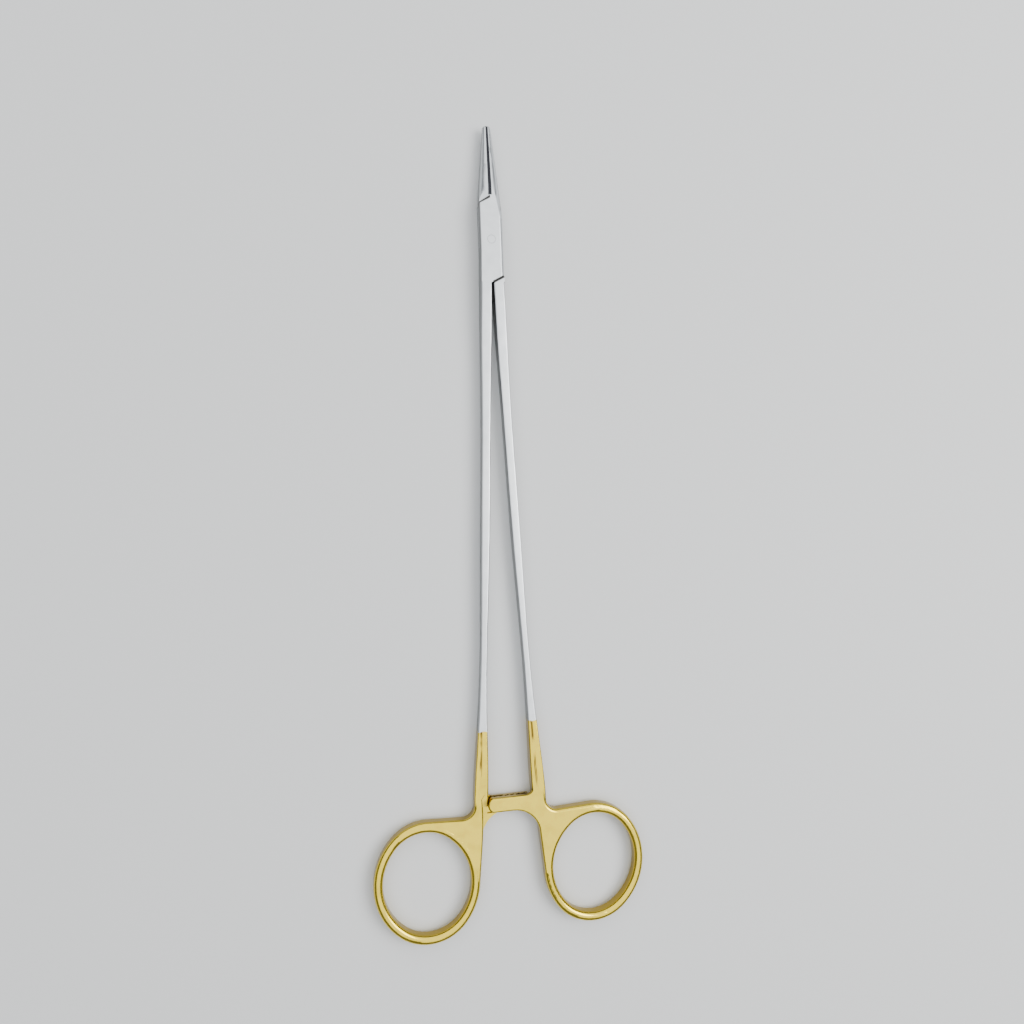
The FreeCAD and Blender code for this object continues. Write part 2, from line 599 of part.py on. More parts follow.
def bevel_shoulder(body):
    """Slope both faces of the left jaw down toward the seam, on a line at 45 degrees to it."""
    start = "((sizes.seam_reach + sizes.bevel_margin) / sqrt(2))"
    fall = "((sizes.box_height - sizes.tongue_height) / 2 - sizes.slide_clearance)"
    foot = f"({start} - {fall} / tan(sizes.bevel_slope * 1 deg))"
    for name, direction in (("upper", 1), ("lower", -1)):
        face = f"{MIDDLE} + {direction} * sizes.box_height / 2"
        sketch = sketch_on(body, f"{name}_bevel_outline", "YZ_Plane")
        sketch.AttachmentOffset = FreeCAD.Placement(
            FreeCAD.Vector(), FreeCAD.Rotation(FreeCAD.Vector(0, 1, 0), -45))
        outline(sketch, [
            (foot, f"{face} - {direction} * {fall}"),
            (start, face),
            (start, f"{face} + {direction}"),
            (foot, f"{face} + {direction}"),
        ])
        pocket(body, sketch, f"{name}_bevel", "2 * sizes.seam_reach", middle=True)


def lock_pin():
    """Pin through both cheeks and the tongue, ground flush."""
    body = new_body("lock_pin")
    sketch = sketch_on(body, "pin_outline", "XY_Plane")
    circle(sketch, "sizes.pin_diameter / 2")
    pad(body, sketch, "pin", "sizes.box_height")
    return body


def jaw_insert(name, side):
    """Carbide face brazed into a jaw and ground with it."""
    body = new_body(name)
    sketch = sketch_on(body, "insert_outline", "XY_Plane")
    insert_outline(sketch, side, "sizes.jaw_gap / 2", "0")
    pad(body, sketch, "insert", "sizes.box_height")
    grind_jaw(body, side)
    return body


def check_and_write(bodies):
    doc.recompute()
    for item in doc.Objects:
        if "Invalid" in item.State or "Error" in item.State:
            raise RuntimeError(f"{item.Name} did not build: {item.State}")
    for body in bodies:
        shape = body.Shape
        if shape.isNull() or not shape.isValid() or len(shape.Solids) != 1:
            raise RuntimeError(f"{body.Label} is not one sound solid")
    os.makedirs("parts", exist_ok=True)
    for body in bodies:
        body.Shape.exportStep(f"parts/{body.Label}.step")
        print(f"{body.Label}: {body.Shape.Volume:.1f} cubic mm")


check_and_write([
    female_arm(),
    male_arm(),
    lock_pin(),
    jaw_insert("female_jaw_insert", 1),
    jaw_insert("male_jaw_insert", -1),
])
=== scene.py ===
"""Needle holder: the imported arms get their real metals, the carbide faces get their cut, and a
pale studio stands round them. All lengths are in metres unless a name says mm."""

import math

import bpy
import numpy as np
from mathutils import Matrix, Vector


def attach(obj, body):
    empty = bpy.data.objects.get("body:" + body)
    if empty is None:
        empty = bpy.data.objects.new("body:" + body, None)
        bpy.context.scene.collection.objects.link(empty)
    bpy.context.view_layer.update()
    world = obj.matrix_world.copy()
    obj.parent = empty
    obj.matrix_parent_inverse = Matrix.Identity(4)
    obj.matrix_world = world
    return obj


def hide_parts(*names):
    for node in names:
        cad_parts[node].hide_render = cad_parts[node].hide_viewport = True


bl_info = {
    "name": "Needle holder",
    "version": (1, 0, 0),
    "blender": (4, 5, 0),
    "location": "View3D > Sidebar > Needle holder",
    "description": "Dresses a surgical needle holder and sets up its studio",
    "category": "Object",
}

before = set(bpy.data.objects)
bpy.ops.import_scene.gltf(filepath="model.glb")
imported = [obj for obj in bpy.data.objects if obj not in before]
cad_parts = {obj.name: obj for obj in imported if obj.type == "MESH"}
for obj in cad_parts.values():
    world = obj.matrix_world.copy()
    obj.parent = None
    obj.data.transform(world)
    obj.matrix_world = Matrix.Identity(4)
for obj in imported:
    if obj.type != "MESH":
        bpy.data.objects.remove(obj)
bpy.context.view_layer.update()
MM = 0.001
SMOOTH = {"interpolation_type": "SMOOTHSTEP"}


def linear(hex_colour):
    """sRGB hex colour as the linear values that Blender works in."""
    values = []
    for start in (1, 3, 5):
        value = int(hex_colour[start:start + 2], 16) / 255
        values.append(value / 12.92 if value <= 0.04045 else ((value + 0.055) / 1.055) ** 2.4)
    return tuple(values)


def add_node(material, kind, settings=None, links=None):
    """One shader node: settings go to its properties or inputs, links join inputs to sockets."""
    node = material.node_tree.nodes.new("ShaderNode" + kind)
    for name, value in (settings or {}).items():
        if isinstance(name, str) and hasattr(node, name):
            setattr(node, name, value)
        else:
            node.inputs[name].default_value = value
    for name, socket in (links or {}).items():
        material.node_tree.links.new(socket, node.inputs[name])
    return node


def new_material(name, settings):
    """Material with one shader on its surface; returns the material and the shader."""
    material = bpy.data.materials.new(name)
    material.use_nodes = True
    material.node_tree.nodes.clear()
    shader = add_node(material, "BsdfPrincipled", settings)
    add_node(material, "OutputMaterial", links={"Surface": shader.outputs["BSDF"]})
    return material, shader


class FinishSettings(bpy.types.PropertyGroup):
    """Colours and surface values of the metals."""

    steel: bpy.props.FloatVectorProperty(
        name="Steel", description="Satin stainless steel", subtype="COLOR", size=3, min=0, max=1,
        default=linear("#e1e5e8"))
    # This colour also paints shade on the side walls of the steel, a painted dark reflection.
    residue_and_wall_shade: bpy.props.FloatVectorProperty(
        name="Residue", description="Dark film in the seams of the box lock and on the side walls",
        subtype="COLOR", size=3, min=0, max=1, default=linear("#33312f"))
    gold: bpy.props.FloatVectorProperty(
        name="Gold", description="Thin gold plating on polished steel", subtype="COLOR", size=3,
        min=0, max=1, default=linear("#efd44c"))
    # This colour also paints shade on the side walls of the plating, a painted dark reflection.
    tarnish_and_wall_shade: bpy.props.FloatVectorProperty(
        name="Tarnish", description="Brown film on worn plating and on its side walls",
        subtype="COLOR", size=3, min=0, max=1, default=linear("#5a3d1b"))
    carbide: bpy.props.FloatVectorProperty(
        name="Carbide", description="Sintered tungsten carbide", subtype="COLOR", size=3,
        min=0, max=1, default=linear("#333439"))
    steel_roughness: bpy.props.FloatProperty(
        name="Steel roughness", description="Satin finish of the steel", default=0.32, min=0, max=1)
    gold_roughness: bpy.props.FloatProperty(
        name="Gold roughness", description="Polish of the plating", default=0.18, min=0, max=1)
    gold_start: bpy.props.FloatProperty(
        name="Gold start", description="Pin to the edge of the plating, along the shanks",
        default=0.1376, min=0.1, max=0.16, unit="LENGTH")


class SeamSettings(bpy.types.PropertyGroup):
    """Where the cheeks of the box end against the male arm."""

    reach: bpy.props.FloatProperty(
        name="Seam reach", description="Pin to the inner end of a seam", default=0.01212,
        min=0.005, max=0.02, unit="LENGTH")
    slope: bpy.props.FloatProperty(
        name="Seam slope", description="Fall of the seam along the arm for its way across",
        default=0.531, min=0, max=1)
    edge_break: bpy.props.FloatProperty(
        name="Edge break", description="Width of the broken edges of a seam", default=0.00013,
        min=0, max=0.0003, unit="LENGTH")


class InsertSettings(bpy.types.PropertyGroup):
    """Carbide insert: a wedge, ground with its jaw to a cone, with a cross-cut gripping face."""

    gap: bpy.props.FloatProperty(
        name="Gap", description="Long axis to the gripping face of the closed jaw",
        default=0.000015, min=0, max=0.0001, unit="LENGTH")
    base_thickness: bpy.props.FloatProperty(
        name="Base thickness", description="Long axis to the back of the insert, at its base",
        default=0.0005, min=0.0003, max=0.001, unit="LENGTH")
    tip_thickness: bpy.props.FloatProperty(
        name="Tip thickness", description="Long axis to the back of the insert, at the tip",
        default=0.0003, min=0.0002, max=0.001, unit="LENGTH")
    half_height: bpy.props.FloatProperty(
        name="Half height", description="Half the thickness of the box", default=0.0027,
        min=0.001, max=0.005, unit="LENGTH")
    cone_offset: bpy.props.FloatProperty(
        name="Cone offset", description="Long axis to the axis of the cone", default=0.00018,
        min=0, max=0.001, unit="LENGTH")
    cone_radius: bpy.props.FloatProperty(
        name="Cone radius", description="Radius of the jaw behind its nose", default=0.001,
        min=0.0005, max=0.002, unit="LENGTH")
    cone_taper: bpy.props.FloatProperty(
        name="Cone taper", description="Slope of the cone to its axis", default=math.radians(5.8),
        min=0, max=0.5, subtype="ANGLE")
    ground_length: bpy.props.FloatProperty(
        name="Ground length", description="Tip to the end of the ground cone", default=0.021,
        min=0.01, max=0.05, unit="LENGTH")
    nose: bpy.props.FloatProperty(
        name="Nose", description="Rounding of the nose", default=0.0006, min=0.0001, max=0.001,
        unit="LENGTH")
    pitch: bpy.props.FloatProperty(
        name="Pitch", description="Spacing of the cross cut", default=0.0006, min=0.0002,
        max=0.001, unit="LENGTH")
    depth: bpy.props.FloatProperty(
        name="Depth", description="Depth of the cross cut", default=0.0001, min=0, max=0.0002,
        unit="LENGTH")
    border: bpy.props.FloatProperty(
        name="Border", description="Width over which the cut runs out at the edges",
        default=0.00025, min=0.0001, max=0.001, unit="LENGTH")


class StageSettings(bpy.types.PropertyGroup):
    """Floor, lights and camera."""

    floor: bpy.props.FloatVectorProperty(
        name="Floor", description="Pale matte floor", subtype="COLOR", size=3, min=0, max=1,
        default=linear("#dcdedf"))
    key_power: bpy.props.FloatProperty(
        name="Key light", description="Soft light from the right", default=4.0, min=0, max=50,
        unit="POWER")
    fill_power: bpy.props.FloatProperty(
        name="Overhead light", description="Broad light above", default=28.0, min=0, max=90,
        unit="POWER")
    room: bpy.props.FloatProperty(
        name="Room light", description="Brightness of the dim room all round", default=0.22,
        min=0, max=2)
    lens: bpy.props.FloatProperty(
        name="Lens", description="Focal length on a 36 mm frame", default=27.04, min=10, max=100,
        unit="CAMERA")


def plating_share(material, place, axes, side, finish):
    """1 on the plated handles and 0 on the steel. The edge of the plating wanders by a few tenths
    of a millimetre and lies lower on the left shank."""
    blur, wander_size, wander_reach, shank_shift = 0.15 * MM, 1.2 * MM, 0.8 * MM, 1.0 * MM
    wander = add_node(material, "TexNoise", {"Scale": 1 / wander_size},
                      {"Vector": place}).outputs[0]
    reach = add_node(material, "Math", {"operation": "MULTIPLY_ADD", 1: wander_reach},
                     {0: wander, 2: axes["Y"]}).outputs[0]
    reach = add_node(material, "Math", {"operation": "MULTIPLY_ADD", 1: -shank_shift},
                     {0: side, 2: reach}).outputs[0]
    return add_node(material, "MapRange", {
        **SMOOTH, "From Min": -finish.gold_start - blur, "From Max": -finish.gold_start + blur,
        "To Min": 1.0, "To Max": 0.0}, {"Value": reach}).outputs[0]


def residue_share(material, place, axes, seam):
    """Share of dried residue: a line along each of the two seams of the box lock, which cross the
    quarters where x and y differ in sign, and a faint ring round the pin."""
    line_core, line_edge, line_strength = 0.3 * MM, 0.56 * MM, 0.96
    rim_radius, rim_core, rim_edge, rim_strength = 1.155 * MM, 0.02 * MM, 0.2 * MM, 0.3
    skew = add_node(material, "Math", {"operation": "MULTIPLY_ADD", 1: -seam.slope},
                    {0: axes["X"], 2: axes["Y"]}).outputs[0]
    beyond = add_node(material, "Math", {"operation": "ABSOLUTE"}, {0: skew}).outputs[0]
    beyond = add_node(material, "Math", {"operation": "SUBTRACT", 1: seam.reach},
                      {0: beyond}).outputs[0]
    apart = add_node(material, "Math", {"operation": "ABSOLUTE"}, {0: beyond}).outputs[0]
    line = add_node(material, "MapRange", {
        **SMOOTH, "From Min": line_core, "From Max": line_edge, "To Min": line_strength,
        "To Max": 0.0}, {"Value": apart}).outputs[0]
    crossed = add_node(material, "Math", {"operation": "MULTIPLY"},
                       {0: axes["X"], 1: axes["Y"]}).outputs[0]
    crossed = add_node(material, "Math", {"operation": "LESS_THAN", 1: 0.0},
                       {0: crossed}).outputs[0]
    line = add_node(material, "Math", {"operation": "MULTIPLY"}, {0: line, 1: crossed}).outputs[0]

    flat_place = add_node(material, "VectorMath", {"operation": "MULTIPLY", 1: (1, 1, 0)},
                          {0: place}).outputs[0]
    from_pin = add_node(material, "VectorMath", {"operation": "LENGTH"},
                        {0: flat_place}).outputs["Value"]
    from_rim = add_node(material, "Math", {"operation": "SUBTRACT", 1: rim_radius},
                        {0: from_pin}).outputs[0]
    from_rim = add_node(material, "Math", {"operation": "ABSOLUTE"}, {0: from_rim}).outputs[0]
    rim = add_node(material, "MapRange", {
        **SMOOTH, "From Min": rim_core, "From Max": rim_edge, "To Min": rim_strength,
        "To Max": 0.0}, {"Value": from_rim}).outputs[0]
    return add_node(material, "Math", {"operation": "MAXIMUM"}, {0: line, 1: rim}).outputs[0]


def streak_share(material, place, axes, side):
    """Share of brown streaks, drawn out along the left half of each plated shank. They run out
    where the shank reaches the ratchet bar.

    The middle of a shank lies at x = +-(middle_slope |y| - middle_start).
    """
    middle_slope, middle_start = 0.0596, 0.995 * MM
    lane_offset, lane_core, lane_edge = 0.45 * MM, 0.1 * MM, 0.6 * MM
    bar_reach, full_reach = 160 * MM, 150 * MM
    grain_size, grain_stretch = 0.7 * MM, 0.12
    middle = add_node(material, "Math", {
        "operation": "MULTIPLY_ADD", 1: -middle_slope, 2: -middle_start},
        {0: axes["Y"]}).outputs[0]
    middle = add_node(material, "Math", {"operation": "MULTIPLY"}, {0: middle, 1: side}).outputs[0]
    across = add_node(material, "Math", {"operation": "SUBTRACT"},
                      {0: axes["X"], 1: middle}).outputs[0]
    across = add_node(material, "Math", {"operation": "ADD", 1: lane_offset},
                      {0: across}).outputs[0]
    across = add_node(material, "Math", {"operation": "ABSOLUTE"}, {0: across}).outputs[0]
    lane = add_node(material, "MapRange", {
        **SMOOTH, "From Min": lane_core, "From Max": lane_edge, "To Min": 1.0, "To Max": 0.0},
        {"Value": across}).outputs[0]
    length = add_node(material, "MapRange", {
        **SMOOTH, "From Min": -bar_reach, "From Max": -full_reach},
        {"Value": axes["Y"]}).outputs[0]
    drawn = add_node(material, "VectorMath", {"operation": "MULTIPLY", 1: (1, grain_stretch, 1)},
                     {0: place}).outputs[0]
    grain = add_node(material, "TexNoise", {"Scale": 1 / grain_size, "Detail": 3.0},
                     {"Vector": drawn}).outputs[0]
    streak = add_node(material, "MapRange", {**SMOOTH, "From Min": 0.4, "From Max": 0.65},
                      {"Value": grain}).outputs[0]
    streak = add_node(material, "Math", {"operation": "MULTIPLY"},
                      {0: streak, 1: lane}).outputs[0]
    return add_node(material, "Math", {"operation": "MULTIPLY"}, {0: streak, 1: length}).outputs[0]


def plated_steel(finish, seam):
    """Martensitic stainless steel, glass-beaded to a satin, with a thin bright gold plating on the
    polished handles: the steel scatters its reflections softly, the gold mirrors the room."""
    mottle_size, mottle_shade = 2.5 * MM, 0.88
    film_size, film_strength = 4.0 * MM, 0.18
    spot_place, spot_core, spot_edge = (-6.9 * MM, -159.3 * MM, 3.2 * MM), 0.6 * MM, 2.2 * MM
    spot_strength, painted_wall_shade_strength = 0.9, 0.72
    bead_size, bead_depth = 0.25 * MM, 0.02 * MM
    material, shader = new_material("satin_stainless_gold_plated_handles", {"Metallic": 1.0})
    surface = add_node(material, "TexCoord").outputs
    place = surface["Object"]
    axes = add_node(material, "SeparateXYZ", links={"Vector": place}).outputs
    side = add_node(material, "Math", {"operation": "SIGN"}, {0: axes["X"]}).outputs[0]
    plated = plating_share(material, place, axes, side, finish)

    # The side walls mirror a dark cloth round the real object. The floor here is pale, so painted
    # shade on the walls, on the steel and on the plating, stands for that dark reflection.
    facing = add_node(material, "SeparateXYZ", links={"Vector": surface["Normal"]}).outputs["Z"]
    facing = add_node(material, "Math", {"operation": "ABSOLUTE"}, {0: facing}).outputs[0]
    painted_wall_shade = add_node(material, "MapRange", {
        **SMOOTH, "From Min": 0.2, "From Max": 0.75, "To Min": painted_wall_shade_strength, "To Max": 0.0},
        {"Value": facing}).outputs[0]

    # Satin: a faint mottle where the beads dwelt, dark residue and painted wall shade.
    mottle = add_node(material, "TexNoise", {"Scale": 1 / mottle_size, "Detail": 3.0},
                      {"Vector": place}).outputs[0]
    steel = add_node(material, "Mix", {
        "data_type": "RGBA", 7: (*finish.steel, 1),
        6: (*[value * mottle_shade for value in finish.steel], 1)}, {0: mottle}).outputs[2]
    dark = residue_share(material, place, axes, seam)
    # Painted shade on the side walls is mixed in here, in the residue colour.
    dark = add_node(material, "Math", {"operation": "MAXIMUM"}, {0: dark, 1: painted_wall_shade}).outputs[0]
    steel = add_node(material, "Mix", {"data_type": "RGBA", 7: (*finish.residue_and_wall_shade, 1)},
                     {0: dark, 6: steel}).outputs[2]

    # Plating: slightly browner where it is thin, with streaks, and with a rusty spot at the root
    # of the left bar, beside the end of the right one. Painted shade on its side walls uses the
    # tarnish colour too.
    film = add_node(material, "TexNoise", {
        "Scale": 1 / film_size, "Detail": 4.0, "Roughness": 0.6}, {"Vector": place}).outputs[0]
    thin = add_node(material, "MapRange", {
        "From Min": 0.45, "From Max": 0.75, "To Max": film_strength}, {"Value": film}).outputs[0]
    streak = streak_share(material, place, axes, side)
    from_spot = add_node(material, "VectorMath", {"operation": "DISTANCE", 1: spot_place},
                         {0: place}).outputs["Value"]
    spot = add_node(material, "MapRange", {
        **SMOOTH, "From Min": spot_core, "From Max": spot_edge, "To Min": spot_strength,
        "To Max": 0.0}, {"Value": from_spot}).outputs[0]
    # The stain takes the painted shade of the side walls as well.
    stain_and_wall_shade = streak
    for other in (spot, thin, painted_wall_shade):
        stain_and_wall_shade = add_node(material, "Math", {"operation": "MAXIMUM"},
                         {0: stain_and_wall_shade, 1: other}).outputs[0]
    gold = add_node(material, "Mix", {"data_type": "RGBA", 6: (*finish.gold, 1),
                                      7: (*finish.tarnish_and_wall_shade, 1)}, {0: stain_and_wall_shade}).outputs[2]
    colour = add_node(material, "Mix", {"data_type": "RGBA"},
                      {0: plated, 6: steel, 7: gold}).outputs[2]
    material.node_tree.links.new(colour, shader.inputs["Base Color"])

    rough_steel = add_node(material, "MapRange", {
        "From Min": 0.3, "From Max": 0.7, "To Min": finish.steel_roughness - 0.04,
        "To Max": finish.steel_roughness + 0.05}, {"Value": mottle}).outputs[0]
    rough_gold = add_node(material, "MapRange", {
        "From Min": 0.3, "From Max": 0.7, "To Min": finish.gold_roughness - 0.03,
        "To Max": finish.gold_roughness + 0.05}, {"Value": film}).outputs[0]
    roughness = add_node(material, "Mix",
                         links={0: plated, 2: rough_steel, 3: rough_gold}).outputs[0]
    material.node_tree.links.new(roughness, shader.inputs["Roughness"])

    beads = add_node(material, "TexNoise", {"Scale": 1 / bead_size},
                     {"Vector": place}).outputs[0]
    beaded = add_node(material, "MapRange", {"To Min": 1.0, "To Max": 0.15},
                      {"Value": plated}).outputs[0]
    height = add_node(material, "Math", {"operation": "MULTIPLY"}, {0: beads, 1: beaded}).outputs[0]
    bump = add_node(material, "Bump", {"Strength": 0.35, "Distance": bead_depth},
                    {"Height": height})
    material.node_tree.links.new(bump.outputs["Normal"], shader.inputs["Normal"])
    return material


def sintered_carbide(finish):
    """Tungsten carbide with a cobalt binder, ground: dark grey, semi-bright and finely grained."""
    grain_size, grain_depth, grain_shade = 0.3 * MM, 0.01 * MM, 0.7
    material, shader = new_material("ground_tungsten_carbide", {"Metallic": 0.85})
    place = add_node(material, "TexCoord").outputs["Object"]
    grain = add_node(material, "TexNoise", {"Scale": 1 / grain_size, "Detail": 3.0},
                     {"Vector": place}).outputs[0]
    colour = add_node(material, "Mix", {
        "data_type": "RGBA", 7: (*finish.carbide, 1),
        6: (*[value * grain_shade for value in finish.carbide], 1)}, {0: grain}).outputs[2]
    material.node_tree.links.new(colour, shader.inputs["Base Color"])
    roughness = add_node(material, "MapRange", {"From Min": 0.3, "From Max": 0.7, "To Min": 0.38,
                                                "To Max": 0.5}, {"Value": grain}).outputs[0]
    material.node_tree.links.new(roughness, shader.inputs["Roughness"])
    bump = add_node(material, "Bump", {"Strength": 0.3, "Distance": grain_depth},
                    {"Height": grain})
    material.node_tree.links.new(bump.outputs["Normal"], shader.inputs["Normal"])
    return material


def matte_floor(stage):
    """Painted board: flat, with a tooth too fine to cast a shade."""
    tooth_size, tooth_shade = 1.5 * MM, 0.98
    material, shader = new_material("pale_painted_board", {"Roughness": 0.8, "Metallic": 0.0})
    place = add_node(material, "TexCoord").outputs["Object"]
    tooth = add_node(material, "TexNoise", {"Scale": 1 / tooth_size, "Detail": 3.0},
                     {"Vector": place}).outputs[0]
    colour = add_node(material, "Mix", {
        "data_type": "RGBA", 7: (*stage.floor, 1),
        6: (*[value * tooth_shade for value in stage.floor], 1)}, {0: tooth}).outputs[2]
    material.node_tree.links.new(colour, shader.inputs["Base Color"])
    return material


def show(name, mesh, body, nodes, material):
    """Object for a finished mesh that rides on a body and stands for CAD nodes."""
    piece = bpy.data.objects.new(name, mesh)
    bpy.context.scene.collection.objects.link(piece)
    piece.data.materials.clear()
    piece.data.materials.append(material)
    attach(piece, body)
    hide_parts(*nodes)
    return piece


def corner_places(mesh):
    """Places of the mesh's corners, one row each."""
    places = np.empty(len(mesh.vertices) * 3)
    mesh.vertices.foreach_get("co", places)
    return places.reshape(-1, 3)


def merged_mesh(node, name):
    """The node's triangles with coincident corners joined, so that curved faces shade smoothly."""
    join_distance = 0.0005 * MM
    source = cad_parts[node].data
    corners = corner_places(source)
    source.calc_loop_triangles()
    triangles = np.empty(len(source.loop_triangles) * 3, dtype=np.int64)
    source.loop_triangles.foreach_get("vertices", triangles)
    keys = np.round(corners / join_distance).astype(np.int64)
    _, first, where = np.unique(keys, axis=0, return_index=True, return_inverse=True)
    a, b, c = where.reshape(-1)[triangles].reshape(-1, 3).T
    whole = (a != b) & (b != c) & (c != a)
    mesh = bpy.data.meshes.new(name)
    mesh.from_pydata(corners[first].tolist(), [], np.stack([a, b, c], axis=-1)[whole].tolist())
    mesh.validate()
    mesh.update()
    return mesh


def weigh_seam_edges(mesh, seam, half_height):
    """Bevel weight 1 on the edges of the upper and lower face that run along a seam.

    An edge counts when both its ends lie by the seam and in a quarter where x and y differ in
    sign. The long edge of the upper seam reaches past the long axis, so it stays sharp.
    """
    seam_distance, face_distance = 0.13 * MM, 0.01 * MM
    x, y, z = corner_places(mesh).T
    from_seam = np.abs(np.abs(y - seam.slope * x) - seam.reach)
    from_face = np.abs(np.abs(z - half_height) - half_height)
    on_seam = (from_seam < seam_distance) & (x * y <= 0) & (from_face < face_distance)
    ends = np.empty(len(mesh.edges) * 2, dtype=np.int64)
    mesh.edges.foreach_get("vertices", ends)
    chosen = on_seam[ends.reshape(-1, 2)].all(axis=1)
    if not chosen.any():
        raise RuntimeError("no edge lies along a seam")
    weights = mesh.attributes.new("bevel_weight_edge", "FLOAT", "EDGE")
    weights.data.foreach_set("value", chosen.astype(np.float32))


def cone_radius(y, settings, tip):
    """Radius of the ground cone at y: r = cone_radius + (nose start - y) tan(taper), and round the
    nose r = cone_radius - nose + sqrt(nose^2 - (y - nose start)^2)."""
    nose_start = tip - settings.nose
    past_nose = np.clip(y - nose_start, 0, settings.nose)
    return (settings.cone_radius + np.clip(nose_start - y, 0, None) * math.tan(settings.cone_taper)
            - settings.nose + np.sqrt(settings.nose ** 2 - past_nose ** 2))


def shade_ground_jaw(piece, settings, tip, side):
    """True normals of the cone on the ground part of the jaw: away from the cone's axis, tipped
    forwards by the taper, or by asin((y - nose start) / nose) on the nose.

    The other corners get the group by which their normals are weighed by face.
    """
    cone_distance, steepest_rise, widest_angle = 0.01 * MM, 0.999, math.radians(12)
    mesh = piece.data
    x, y, z = corner_places(mesh).T
    out_x, out_z = x - side * settings.cone_offset, z - settings.half_height
    radius = np.hypot(out_x, out_z)
    ground = np.abs(radius - cone_radius(y, settings, tip)) < cone_distance
    ground &= y > tip - settings.ground_length
    rise = np.clip((y - tip + settings.nose) / settings.nose, math.sin(settings.cone_taper),
                   steepest_rise)
    normals = np.stack([out_x, radius * rise / np.sqrt(1 - rise ** 2), out_z], axis=-1)
    normals /= np.maximum(np.linalg.norm(normals, axis=1, keepdims=True), 1e-9)
    vertex = np.empty(len(mesh.loops), dtype=np.int64)
    mesh.loops.foreach_get("vertex_index", vertex)
    flat = np.empty(len(mesh.polygons) * 3)
    mesh.polygons.foreach_get("normal", flat)
    flat = np.repeat(flat.reshape(-1, 3), 3, axis=0)
    along = (flat * normals[vertex]).sum(axis=1) > math.cos(widest_angle)
    chosen = ground[vertex] & along
    if not chosen.any():
        raise RuntimeError("no corner lies on the cone of " + piece.name)
    mesh.normals_split_custom_set(np.where(chosen[:, None], normals[vertex], 0).tolist())
    ordinary = np.ones(len(mesh.vertices), dtype=bool)
    ordinary[vertex[chosen]] = False
    group = piece.vertex_groups.new(name="weighed_by_face")
    group.add(np.flatnonzero(ordinary).tolist(), 1.0, "REPLACE")


class NEEDLEHOLDER_OT_arms(bpy.types.Operator):
    """Both arms: smooth shading, broken edges on the lower seam, satin and gold finish"""

    bl_idname = "needleholder.arms"
    bl_label = "Arms"
    crease = math.radians(28)

    def execute(self, context):
        scene = context.scene
        seam = scene.needleholder_seam
        material = plated_steel(scene.needleholder_finish, seam)
        insert = scene.needleholder_insert
        for node, body, side in (("female_arm", "female_side", 1), ("male_arm", "male_side", -1)):
            mesh = merged_mesh(node, node + "_surface")
            weigh_seam_edges(mesh, seam, insert.half_height)
            tip = corner_places(mesh)[:, 1].max()
            mesh.shade_smooth()
            mesh.set_sharp_from_angle(angle=self.crease)
            piece = show(node + "_plated", mesh, body, [node], material)
            shade_ground_jaw(piece, insert, tip, side)
            edges = piece.modifiers.new("broken_seam_edges", "BEVEL")
            edges.limit_method = "WEIGHT"
            edges.width = seam.edge_break
            edges.segments = 2
            edges.use_clamp_overlap = False
            smoothing = piece.modifiers.new("face_weighted_normals", "WEIGHTED_NORMAL")
            smoothing.keep_sharp = True
            smoothing.weight = 60
            smoothing.vertex_group = "weighed_by_face"
        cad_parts["lock_pin"].data.materials.clear()
        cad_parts["lock_pin"].data.materials.append(material)
        return {"FINISHED"}


def insert_surface(name, settings, base, tip, side):
    """Closed surface of one insert, a row of points round the wedge for each y from base to tip.

    At x the wedge is as high as the box or, where that is less, as the cone of radius r(y) with
    its axis at cone_offset: z = +-sqrt(r^2 - (x - cone_offset)^2). The gripping face lies
    at x = gap + depth max(v((y + z) / p), v((y - z) / p)), with v(t) = |2 (t - floor t) - 1| and
    p = pitch sqrt 2, and the depth falls to 0 over the border at its edges.
    """
    wedge_rows, nose_rows, grip_columns, back_columns = 240, 10, 65, 5
    nose_start = tip - settings.nose
    straight = np.linspace(base, nose_start, wedge_rows)
    round_part = nose_start + settings.nose * np.sin(np.linspace(0, np.pi / 2, nose_rows))[1:]
    y = np.concatenate([straight, round_part])[:, None]
    radius = cone_radius(y, settings, tip)

    def height(x):
        inside = np.clip(radius ** 2 - (x - settings.cone_offset) ** 2, 0, None)
        return np.minimum(settings.half_height, np.sqrt(inside))

    share = np.linspace(-1, 1, grip_columns)[None, :]
    grip_z = share * height(settings.gap)
    spacing = settings.pitch * math.sqrt(2)
    valleys = [np.abs(2 * (turns - np.floor(turns)) - 1)
               for turns in ((y + grip_z) / spacing, (y - grip_z) / spacing)]
    room = np.minimum((1 - np.abs(share)) * height(settings.gap), np.minimum(y - base, tip - y))
    run_out = np.clip(room / settings.border, 0, 1)
    grip_x = settings.gap + settings.depth * run_out * np.maximum(*valleys)

    thinning = settings.tip_thickness - settings.base_thickness
    back = settings.base_thickness + thinning * (y - base) / (tip - base)
    top_x = settings.gap + (back - settings.gap) * np.linspace(0, 1, back_columns)[None, 1:]
    top_z = height(top_x)
    x = np.hstack([grip_x, top_x, top_x[:, ::-1]])
    z = np.hstack([grip_z, top_z, -top_z[:, ::-1]])
    rows, around = x.shape
    corners = np.stack([side * x, np.broadcast_to(y, x.shape), z + settings.half_height], axis=-1)

    row, column = np.meshgrid(np.arange(rows - 1), np.arange(around), indexing="ij")
    following = (column + 1) % around
    quads = np.stack([row * around + column, row * around + following,
                      (row + 1) * around + following, (row + 1) * around + column], axis=-1)
    first = np.arange(around)
    caps = [first[::-1], (rows - 1) * around + first]
    if side < 0:
        quads = quads[..., ::-1]
        caps = [cap[::-1] for cap in caps]
    mesh = bpy.data.meshes.new(name)
    mesh.from_pydata(corners.reshape(-1, 3).tolist(), [],
                     quads.reshape(-1, 4).tolist() + [cap.tolist() for cap in caps])
    mesh.update()
    return mesh


